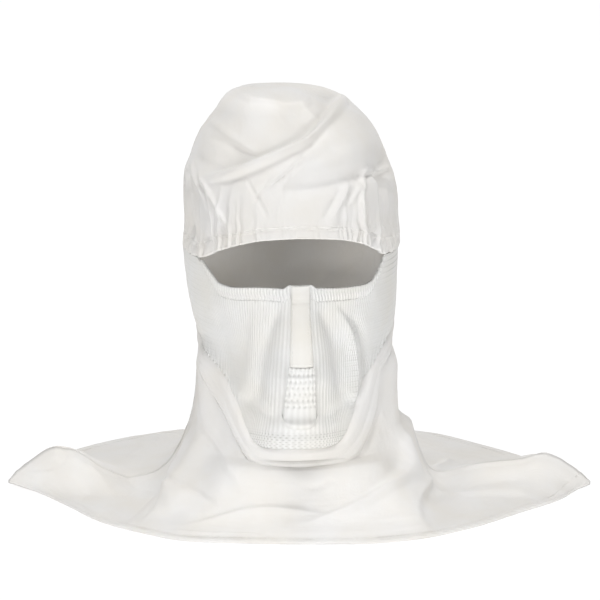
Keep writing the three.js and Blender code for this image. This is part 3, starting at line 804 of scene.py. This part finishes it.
def knitted_finish(name, colour):
    """Rib knit, one rib to the unit across: slanted stitches up each rib, painted shade between ribs, and eyelets
    where holes are set.
    """
    material, tree, shader = new_material(name, colour, 0.92, 0.12)
    across, down = cloth_axes(tree)[1:]
    half_turns = math(tree, "SINE", math(tree, "MULTIPLY", across, np.pi))
    slant = math(tree, "MULTIPLY", math(tree, "ABSOLUTE", half_turns), 0.4)
    stitches = ripple(tree, math(tree, "ADD", down, slant), 1.0)
    # Painted shade: the colour darkens in the valleys between the ribs
    valley = ripple(tree, across, 1.0, -np.pi / 2)
    weight = tree.nodes.new("ShaderNodeAttribute")
    weight.attribute_name = "holes"
    staggered = math(tree, "MULTIPLY", math(tree, "FLOOR", down), 0.5)
    dots = math(tree, "MULTIPLY", ripple(tree, math(tree, "ADD", across, staggered), 1.0),
                ripple(tree, down, 1.0, -np.pi / 2))
    eyelets = math(tree, "MULTIPLY", math(tree, "POWER", dots, 2.0), weight.outputs["Fac"])
    eyelets_and_valley_shade = math(tree, "ADD", math(tree, "MULTIPLY", eyelets, 0.8), math(tree, "MULTIPLY", valley, 0.16))
    shade = blended(tree, eyelets_and_valley_shade, mottled(tree, colour, 0.05), EYELET_COLOUR)
    tree.links.new(shade, shader.inputs["Base Color"])
    raised = math(tree, "MULTIPLY", stitches, 0.22)
    height = math(tree, "SUBTRACT", raised, math(tree, "MULTIPLY", eyelets, 2.0))
    bump = node(tree, "ShaderNodeBump", Strength=0.6, Distance=0.0003, Height=height)
    tree.links.new(bump.outputs["Normal"], shader.inputs["Normal"])
    return material


# Settings


class HoodClothSettings(bpy.types.PropertyGroup):
    """Thicknesses and colours of the hood's cloths."""

    cotton_thickness: FloatProperty(name="Cotton", description="Two layers of woven cotton", default=0.002,
                                    subtype="DISTANCE")
    knit_thickness: FloatProperty(name="Knit", description="The mask's rib knit", default=0.002,
                                  subtype="DISTANCE")
    tape_thickness: FloatProperty(name="Tape", description="The tape down the nose", default=0.0012,
                                  subtype="DISTANCE")
    mouth_thickness: FloatProperty(name="Mouth knit", description="The coarse knit over the mouth",
                                   default=0.0024, subtype="DISTANCE")
    hem_thickness: FloatProperty(name="Hem", description="The turned-up hem", default=0.0025,
                                 subtype="DISTANCE")
    weave_pitch: FloatProperty(name="Weave", default=0.5,
                               description="Distance between the cotton's threads in millimetres")
    cotton_colour: FloatVectorProperty(name="Cotton colour", description="White cotton", subtype="COLOR",
                                       default=(0.805, 0.794, 0.779))
    knit_colour: FloatVectorProperty(name="Knit colour", description="White knitted cotton", subtype="COLOR",
                                     default=(0.845, 0.845, 0.835))
    tape_colour: FloatVectorProperty(name="Tape colour", description="Off-white woven tape", subtype="COLOR",
                                     default=(0.79, 0.777, 0.745))


class HoodDetailSettings(bpy.types.PropertyGroup):
    """Sizes of gathers, ribs and stitches."""

    gather_height: FloatProperty(name="Gathers", description="Height of the gathers at the temples",
                                 default=0.0016, subtype="DISTANCE")
    crumple_height: FloatProperty(name="Creasing", description="Height of the cotton's soft creasing",
                                  default=0.0004, subtype="DISTANCE")
    rib_pitch: FloatProperty(name="Rib pitch", description="Distance between the mask's ribs", default=0.0023,
                             subtype="DISTANCE")
    rib_height: FloatProperty(name="Rib height", description="Height of the mask's ribs", default=0.0006,
                              subtype="DISTANCE")
    stitch_length: FloatProperty(name="Stitch", description="Length of one stitch", default=0.0026,
                                 subtype="DISTANCE")


class HoodStageSettings(bpy.types.PropertyGroup):
    """The studio: camera and light."""

    azimuth: FloatProperty(name="Azimuth", description="Camera's angle round the hood", default=-4.4)
    elevation: FloatProperty(name="Elevation", description="Camera's angle above the horizon", default=12.0)
    distance: FloatProperty(name="Distance", description="Camera to the hood's middle", default=1.5,
                            subtype="DISTANCE")
    lens: FloatProperty(name="Lens", description="Focal length in millimetres", default=123.3)
    key_power: FloatProperty(name="Key light", description="Power of the front light on the left, in watts",
                             default=64.0)
    fill_power: FloatProperty(name="Fill light", default=56.0,
                              description="Power of the front light on the right, in watts")
    top_power: FloatProperty(name="Top light", description="Power of the overhead light, in watts",
                             default=112.0)
    sky: FloatProperty(name="Sky", description="Brightness of the light from all round", default=0.12)


def cloth():
    """The settings of the cloths."""
    return bpy.context.scene.hood_cloth


def detail():
    """The settings of the details."""
    return bpy.context.scene.hood_detail


def cotton():
    """The hood's white cotton, made at its first use, as the next three are."""
    return bpy.data.materials.get("white_cotton") or woven_finish(
        "white_cotton", tuple(cloth().cotton_colour), cloth().weave_pitch)


def knit():
    """The white knit of mask, band and mouth panel."""
    return bpy.data.materials.get("rib_knit") or knitted_finish("rib_knit", tuple(cloth().knit_colour))


def thread():
    """Twisted white thread: a fine slanted ripple."""
    made = bpy.data.materials.get("white_thread")
    if made:
        return made
    colour = tuple(cloth().cotton_colour)
    material, tree, shader = new_material("white_thread", colour, 0.7, 0.1)
    tree.links.new(mottled(tree, colour, 0.06), shader.inputs["Base Color"])
    twist = node(tree, "ShaderNodeTexWave", Vector=object_place(tree), Scale=900.0)
    twist.bands_direction = "DIAGONAL"
    bump = node(tree, "ShaderNodeBump", Strength=0.3, Distance=0.0001, Height=twist.outputs["Fac"])
    tree.links.new(bump.outputs["Normal"], shader.inputs["Normal"])
    return material


def tape():
    """The off-white tape, of a coarser weave."""
    return bpy.data.materials.get("off_white_tape") or woven_finish(
        "off_white_tape", tuple(cloth().tape_colour), 0.7)


def finish_piece(node_name):
    """Hide the frame's solid that the piece stands for."""
    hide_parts(node_name)


def edge_drop(shape, across, down, depth=0.3, reach=1.2):
    """How far the outer face sinks at a piece's edges, where the cloth turns into the seam.

    It is a bell of the distance from the grid's nearest edge, with across and down the size of a cell.
    """
    rows, columns = shape
    column = np.arange(columns)
    row = np.arange(rows)
    from_side = np.minimum(column, columns - 1 - column)[None, :] * across
    from_end = np.minimum(row, rows - 1 - row)[:, None] * down
    return -depth * bell(np.minimum(from_side, from_end), reach)


def temple(deg):
    """0 over the face's middle and 1 at the temples, where the elastic gathers the cloth most."""
    return smooth((np.abs(deg) - 14) / 24)


def front_gathers(deg, run, reach, least):
    """The gathers over the brow in mm, in full at the temples and at their least share over the middle."""
    return gathers(deg, run, reach, 1.3) * mix(least, 1, temple(deg)) * detail().gather_height / MM


def creasing(deg, run, seed):
    """The cotton's soft creasing in mm."""
    return crumple(deg, run, seed) * detail().crumple_height / MM


def hem_dip(run):
    """The groove along the hem's stitches, in mm."""
    return -0.5 * bell(run - HEM_STITCH_RUN, 1.2)


def hemmed_thickness(run):
    """The cotton's thickness in mm, greater beyond the hem's stitches, where it is turned up."""
    return np.where(run > HEM_STITCH_RUN, cloth().hem_thickness, cloth().cotton_thickness) / MM


def hem_stitches(place, first, last, side):
    """The hem's row of stitches between two angles, sunk a little into its groove."""
    line = np.linspace(first, last, 900)
    return stitch_row(f"hem_stitches_{place}", line, np.full_like(line, HEM_STITCH_RUN + 0.2), -0.1, side)


class HOOD_OT_crown(bpy.types.Operator):
    """Crown: the front half of the cap, raised by its gathers over the elastic and by soft creasing"""

    bl_idname = "hood.crown"
    bl_label = "Crown"

    def execute(self, context):
        deg, share = grid(np.linspace(-SIDE_SEAM, SIDE_SEAM, 250), np.linspace(0, 1, 120))
        foot = BROW["foot"](deg) - BROW["depth"](deg)
        run = share * (foot - SEAM_GAP / 2)
        lift = front_gathers(deg, run, foot - run, 0.12) + creasing(deg, run, 3) * smooth(run / APEX_FADE)
        piece = cloth_shell("crown_front_cloth", deg, run, lift, cloth().cotton_thickness / MM, cotton())
        finish_piece("crown_front")
        return {"FINISHED"}


class HOOD_OT_casing(bpy.types.Operator):
    """Elastic casing over the eyes: a stitched tube with its gathers"""

    bl_idname = "hood.casing"
    bl_label = "Brow casing"

    def execute(self, context):
        deg, share = grid(np.linspace(-SIDE_SEAM, SIDE_SEAM, 420), np.linspace(0, 1, 20))
        lap_over_crown = 0.7
        run = BROW["foot"](deg) - mix(BROW["depth"](deg) + lap_over_crown, 0, share)
        tube = CASING_TUBE["height"](share) * mix(1, 0.45, temple(deg))
        lift = tube + front_gathers(deg, run, np.zeros_like(deg), 0.2)
        piece = cloth_shell("brow_casing_cloth", deg, run, lift, cloth().cotton_thickness / MM, cotton())
        finish_piece("brow_casing")
        line = np.linspace(1 - SIDE_SEAM, SIDE_SEAM - 1, 600)
        stitched = [stitch_row(f"casing_stitches_{place}", line, BROW["foot"](line) - above_foot, 0.45)
                    for place, above_foot in (("top", BROW["depth"](line) * 0.83), ("foot", 1.3))]
        return {"FINISHED"}


class HOOD_OT_back(bpy.types.Operator):
    """Back: one length of cotton from the top of the head to the hem, gathered at the elastic's ends"""

    bl_idname = "hood.back"
    bl_label = "Back panel"

    def execute(self, context):
        back_of_seam = SIDE_SEAM + 1e-6
        runs = np.concatenate([np.linspace(0, NECK_RUN, 165)[:-1], np.linspace(NECK_RUN, HEM_RUN, 66)])
        deg, run = grid(np.linspace(SIDE_SEAM, 360 - SIDE_SEAM, 190), runs)
        near_seam = smooth((np.abs(deg - 180) - 50) / 30)
        pleats = gathers(deg, run, np.abs(run - ELASTIC_RUN), 4.1) * detail().gather_height / MM
        soft = creasing(deg, run, 9) * smooth(run / APEX_FADE) * 1.5
        lift = pleats * near_seam * 0.7 + soft + hem_dip(run) + edge_drop(deg.shape, 1.5, 1.6)
        thick = hemmed_thickness(run)
        deg = np.maximum(deg, back_of_seam)
        piece = cloth_shell("back_panel_cloth", deg, run, lift, thick, cotton(), 1)
        finish_piece("back_panel")
        stitched = [hem_stitches("back", 90.5, 269.5, 1)]
        return {"FINISHED"}


def step_deg(step):
    """The angle at a step of the binding's table, in proportion from seam to seam."""
    return mix(-SIDE_SEAM, SIDE_SEAM, step / STEPS)


def band_depth(step):
    """Depth of the ribbed band, shallow at the corners of the eyes."""
    return mix(2.5, 8.5, smooth(np.minimum(step - BAND_FIRST, BAND_LAST - step) / 1.5))


def knit_top(step):
    """Run of the knitted body's upper edge: below the band, and at the mask's edge past the band's ends."""
    past = np.maximum(np.maximum(BAND_FIRST - step, step - BAND_LAST), 0) / 0.5
    below = (band_depth(step) + SEAM_GAP) * (1 - np.minimum(past, 1))
    return MASK_TOP["run"](step_deg(step)) + SEAM_GAP / 2 + below


def mask_place(step, share):
    """A place of the mask, share 0 at the knit's upper edge and 1 at the binding."""
    deg = mix(step_deg(step), BINDING["inner_deg"](step), share)
    run = mix(knit_top(step), BINDING["inner_run"](step) - SEAM_GAP, share)
    return deg, run


class HOOD_OT_bib(bpy.types.Operator):
    """Front bib: the throat and the front of the cape, from the binding to the turned-up hem"""

    bl_idname = "hood.bib"
    bl_label = "Front bib"

    def execute(self, context):
        shares = np.concatenate([np.linspace(0, 1, 110), np.linspace(1.1, 2, 8)])
        step, share = grid(np.linspace(0, STEPS, 230), shares)
        along = np.minimum(share, 1)
        top = BINDING["outer_run"](step) + SEAM_GAP
        run = mix(top, HEM_STITCH_RUN, along) + np.maximum(share - 1, 0) * (HEM_RUN - HEM_STITCH_RUN)
        deg = mix(BINDING["outer_deg"](step), step_deg(step), smooth(along * 1.2))
        lift = creasing(deg, run, 21) * 1.5 + hem_dip(run) + edge_drop(deg.shape, 1.5, 1.2)
        piece = cloth_shell("front_bib_cloth", deg, run, lift, hemmed_thickness(run), cotton())
        finish_piece("front_bib")
        stitched = [hem_stitches("front", -89.5, 89.5, -1)]
        return {"FINISHED"}


class HOOD_OT_binding(bpy.types.Operator):
    """Binding: the soft double roll round the foot of the mask"""

    bl_idname = "hood.binding"
    bl_label = "Face binding"

    def execute(self, context):
        step, share = grid(np.linspace(0, STEPS, 360), np.linspace(0, 1, 26))
        roll = BINDING_ROLL["height"](share) * mix(0.45, 1, smooth(np.minimum(step, STEPS - step) / 6))
        lap = mix(-0.06, 1.07, share)
        deg = mix(BINDING["inner_deg"](step), BINDING["outer_deg"](step), lap)
        run = mix(BINDING["inner_run"](step), BINDING["outer_run"](step), lap)
        soft = crumple(deg, run, 33, 1.3) * 0.3 * smooth(np.minimum(share, 1 - share) / 0.2)
        thick = cloth().cotton_thickness / MM + np.maximum(roll, 0)
        piece = cloth_shell("face_binding_cloth", deg, run, roll + soft, thick, cotton())
        finish_piece("face_binding")
        return {"FINISHED"}


class HOOD_OT_mask(bpy.types.Operator):
    """Mask: the rib-knitted face piece and the ribbed elastic band along its upper edge"""

    bl_idname = "hood.mask"
    bl_label = "Face mask"

    def execute(self, context):
        ribs = round(MASK_GIRTH / (detail().rib_pitch / MM))
        step, share = grid(np.linspace(0, STEPS, 4 * ribs + 1), np.linspace(0, 1, 102))
        deg, run = mask_place(step, share)
        rib = np.cos(2 * np.pi * ribs * step / STEPS) * detail().rib_height / MM / 2
        from_end = np.minimum(step, STEPS - step)
        pucker = pleat(step * 3.4) * np.exp(-(1 - share) * 18) * smooth(from_end - 1.5) * smooth(6 - from_end)
        lift = rib + crumple(deg, run, 41) * 0.3 + 0.7 * pucker
        uv = np.stack([ribs * step / STEPS, run / MASK_ROW], -1)
        # How open the eyelets are: most at the chin and below the band's right end, less on the taut strip.
        # At the chin and towards the cheeks' sides their dark colour is also painted shade.
        cheek = smooth((np.abs(step - 9.6) - 5.4) / 2.5)
        chin = smooth((run - 277) / 5) * smooth(5.5 - np.abs(step - 10))
        chin = chin * mix(0.7, 1, smooth((np.abs(deg) - 4) / 2))
        strip = bell(deg - mix(26, 30, share), 3.2) * smooth((share - 0.15) / 0.1)
        eye_corner = cheek * smooth((0.3 - share) / 0.2) * smooth((step - 10) / 2)
        holes = np.clip(0.03 + 0.1 * cheek + 0.7 * eye_corner + 0.7 * chin + 0.4 * strip, 0, 1)
        thick = cloth().knit_thickness / MM
        piece = cloth_shell("face_mask_knit", deg, run, lift, thick, knit(), uv=uv, holes=holes)
        finish_piece("face_mask")
        self.band()
        return {"FINISHED"}

    def band(self):
        """The ribbed band: ribs as a cosine along it, swaying from top to foot, on an arched profile."""
        step, share = grid(np.linspace(BAND_FIRST, BAND_LAST, 380), np.linspace(0, 1, 12))
        deg = step_deg(step)
        run = MASK_TOP["run"](deg) + SEAM_GAP / 2 + share * (band_depth(step) + 0.9)
        ribs = BAND_RIBS * (step - BAND_FIRST) / (BAND_LAST - BAND_FIRST)
        rib = np.cos(2 * np.pi * (ribs + 0.25 * np.sin(np.pi * 2 * share))) * 0.5
        arch = np.sin(np.pi * share)
        lift = mix(0.35, -0.15, share) + 0.3 * arch + rib * arch ** 0.3
        uv = np.stack([ribs, run / BAND_ROW], -1)
        piece = cloth_shell("mask_band_rib", deg, run, lift, cloth().knit_thickness / MM, knit(), uv=uv)
        finish_piece("mask_band")


class HOOD_OT_tape(bpy.types.Operator):
    """Nose tape: off-white tape from the band down the ridge of the nose"""

    bl_idname = "hood.tape"
    bl_label = "Nose tape"

    def execute(self, context):
        step, share = grid(np.linspace(TAPE_FIRST, TAPE_LAST, 30), np.linspace(-1, 1, 110))
        on_band = share < 0
        step = mix(TAPE_MIDDLE, step, TAPE_BREADTH)
        deg, run = mask_place(step, np.maximum(share, 0) * TAPE_END_SHARE)
        band_run = MASK_TOP["run"](step_deg(step)) + SEAM_GAP / 2 + (share + 1) * band_depth(step)
        run = np.where(on_band, band_run, run)
        thick = cloth().tape_thickness / MM
        band_hump = np.where(on_band, 0.8 * np.sin(-np.pi * share), 0)
        band_foot = -0.35 * bell(run - BAND_FOOT_AT_NOSE, 1.0)
        lift = thick + SEAM_GAP + band_hump + band_foot + edge_drop(share.shape, 0.5, 0.5, 0.35, 0.6)
        piece = cloth_shell("nose_tape_strip", deg, run, lift, thick, tape())
        finish_piece("nose_tape")
        reach = 0.8 * TAPE_BREADTH * (TAPE_LAST - TAPE_FIRST) / 2
        down = np.linspace(0.02, TAPE_END_SHARE - 0.012, 200)
        across = np.linspace(TAPE_MIDDLE - reach, TAPE_MIDDLE + reach, 60)
        lines = (
            ("left", TAPE_MIDDLE - reach, down),
            ("right", TAPE_MIDDLE + reach, down),
            ("foot", across, np.full_like(across, TAPE_END_SHARE - 0.02)),
        )
        stitched = [stitch_row(f"tape_stitches_{place}", *mask_place(steps, shares), thick + SEAM_GAP)
                    for place, steps, shares in lines]
        return {"FINISHED"}


class HOOD_OT_mouth(bpy.types.Operator):
    """Mouth panel: coarse eyelet knit below the tape, with a smooth rounded foot"""

    bl_idname = "hood.mouth"
    bl_label = "Mouth panel"

    def execute(self, context):
        shares = np.linspace(MOUTH_START_SHARE, MOUTH_END_SHARE, 220)
        step, share = grid(np.linspace(TAPE_FIRST, TAPE_LAST, 120), shares)
        middle = 2 * (step - TAPE_MIDDLE)
        foot = smooth((share - MOUTH_FOOT_SHARE) / (MOUTH_END_SHARE - MOUTH_FOOT_SHARE))
        down = (share - TAPE_END_SHARE) / (MOUTH_END_SHARE - TAPE_END_SHARE)
        corner = (0.03 * middle ** 2 + 0.06 * middle ** 6) * foot
        deg, run = mask_place(TAPE_MIDDLE + (step - TAPE_MIDDLE) * mix(0.8, 1.1, down), share - corner)
        uv = np.stack([MOUTH_KNOTS * (middle + 1), run / MOUTH_ROW], -1)
        knots = 0.35 * np.cos(2 * np.pi * uv[..., 1]) + 0.25 * np.cos(2 * np.pi * uv[..., 0])
        plain = smooth((run - 257) / 3)
        lip = 4.2 * bell(share - LIP_SHARE, 0.04) * smooth((1.05 - np.abs(middle)) / 0.6)
        thick = cloth().mouth_thickness / MM
        lift = SEAM_GAP + thick + knots * (1 - plain) + lip + edge_drop(share.shape, 0.2, 0.2, 0.8, 0.6)
        holes = 0.5 * (1 - plain)
        piece = cloth_shell("mouth_panel_knit", deg, run, lift, thick, knit(), uv=uv, holes=holes)
        finish_piece("mouth_panel")
        return {"FINISHED"}


# The stage, in metres: the floor's profile by y and height, the lamps' places, what lamps and camera aim at
FLOOR_REACH = 4.0
FLOOR_PROFILE = np.array([(-3.0, 0.0), (2.0, 0.0), (2.6, 0.1), (3.1, 0.4), (3.4, 1.0), (3.5, 3.0)])
LAMP_PLACES = {"key": (-2.1, -3.4, 0.05), "fill": (2.0, -3.5, 0.05), "top": (0.0, 0.0, 4.0)}
LAMP_SIZE = 1.2
LAMP_TARGET = Vector((0.0, 0.0, -0.16))
CAMERA_TARGET = Vector((0.0077, 0.0, -0.156))


class HOOD_OT_stage(bpy.types.Operator):
    """Stage: pale floor, soft studio light and the camera"""

    bl_idname = "hood.stage"
    bl_label = "Stage"

    def execute(self, context):
        stage = context.scene.hood_stage
        self.floor()
        self.lights(stage)
        self.camera(stage)
        context.scene.view_settings.view_transform = "Standard"
        return {"FINISHED"}

    def floor(self):
        """A wide white floor that curves up into a backdrop."""
        x, y = np.meshgrid(np.linspace(-FLOOR_REACH, FLOOR_REACH, 3), FLOOR_PROFILE[:, 0])
        z = np.broadcast_to(FLOOR_PROFILE[:, 1:2] + CAD_BOX[0][2], x.shape)
        points = np.stack([x, y, z], -1).reshape(-1, 3)
        index = np.arange(x.size).reshape(x.shape)
        faces = np.stack([index[:-1, :-1], index[:-1, 1:], index[1:, 1:], index[1:, :-1]], -1).reshape(-1, 4)
        mesh = bpy.data.meshes.new("studio_floor")
        mesh.from_pydata(points.tolist(), [], faces.tolist())
        material = bpy.data.materials.new("pale_paper")
        material.use_nodes = True
        shader = material.node_tree.nodes["Principled BSDF"]
        shader.inputs["Base Color"].default_value = (0.2, 0.2, 0.2, 1)
        shader.inputs["Roughness"].default_value = 0.9
        shader.inputs["Emission Color"].default_value = (1, 1, 1, 1)
        shader.inputs["Emission Strength"].default_value = 0.85
        mesh.materials.append(material)
        floor = bpy.data.objects.new("studio_floor", mesh)
        bpy.context.scene.collection.objects.link(floor)

    def lights(self, stage):
        """Three area lights that aim at the hood, and an even white sky."""
        world = bpy.data.worlds.new("studio")
        bpy.context.scene.world = world
        world.use_nodes = True
        background = world.node_tree.nodes["Background"]
        background.inputs["Color"].default_value = (1, 1, 1, 1)
        background.inputs["Strength"].default_value = stage.sky
        powers = {"key": stage.key_power, "fill": stage.fill_power, "top": stage.top_power}
        for name, place in LAMP_PLACES.items():
            light = bpy.data.lights.new(name, "AREA")
            light.size = LAMP_SIZE
            light.energy = powers[name]
            lamp = bpy.data.objects.new(name, light)
            lamp.location = place
            lamp.rotation_euler = (LAMP_TARGET - lamp.location).to_track_quat("-Z", "Y").to_euler()
            bpy.context.scene.collection.objects.link(lamp)

    def camera(self, stage):
        """The camera, set back from its target along the azimuth and the elevation."""
        azimuth, elevation = np.radians(stage.azimuth), np.radians(stage.elevation)
        level = np.cos(elevation)
        back = Vector((np.sin(azimuth) * level, -np.cos(azimuth) * level, np.sin(elevation)))
        camera = bpy.data.cameras.new("camera")
        camera.lens = stage.lens
        camera.sensor_width = 36.0
        viewer = bpy.data.objects.new("camera", camera)
        viewer.location = CAMERA_TARGET + back * stage.distance
        viewer.rotation_euler = (-back).to_track_quat("-Z", "Y").to_euler()
        bpy.context.scene.collection.objects.link(viewer)
        bpy.context.scene.camera = viewer


PIECE_OPERATORS = (
    HOOD_OT_crown,
    HOOD_OT_casing,
    HOOD_OT_back,
    HOOD_OT_bib,
    HOOD_OT_binding,
    HOOD_OT_mask,
    HOOD_OT_tape,
    HOOD_OT_mouth,
    HOOD_OT_stage,
)


class HOOD_PT_panel(bpy.types.Panel):
    """Hood panel in the 3D view's sidebar"""

    bl_idname = "HOOD_PT_panel"
    bl_label = "Anti-flash hood"
    bl_space_type = "VIEW_3D"
    bl_region_type = "UI"
    bl_category = "Hood"

    def draw(self, context):
        """The three groups of settings, then a button for each step in order."""
        layout = self.layout
        for group in (context.scene.hood_cloth, context.scene.hood_detail, context.scene.hood_stage):
            box = layout.box()
            for name in group.__annotations__:
                box.prop(group, name)
        for operator in PIECE_OPERATORS:
            layout.operator(operator.bl_idname)


CLASSES = (HoodClothSettings, HoodDetailSettings, HoodStageSettings, *PIECE_OPERATORS, HOOD_PT_panel)


def register():
    """Add the settings, operators and panel to Blender."""
    for made in CLASSES:
        bpy.utils.register_class(made)
    bpy.types.Scene.hood_cloth = PointerProperty(type=HoodClothSettings)
    bpy.types.Scene.hood_detail = PointerProperty(type=HoodDetailSettings)
    bpy.types.Scene.hood_stage = PointerProperty(type=HoodStageSettings)


def unregister():
    """Take them out again."""
    del bpy.types.Scene.hood_stage
    del bpy.types.Scene.hood_detail
    del bpy.types.Scene.hood_cloth
    for made in reversed(CLASSES):
        bpy.utils.unregister_class(made)


def main():
    """Build the hood step by step."""
    register()
    for operator in PIECE_OPERATORS:
        group, name = operator.bl_idname.split(".")
        getattr(getattr(bpy.ops, group), name)()


if __name__ == "__main__":
    main()
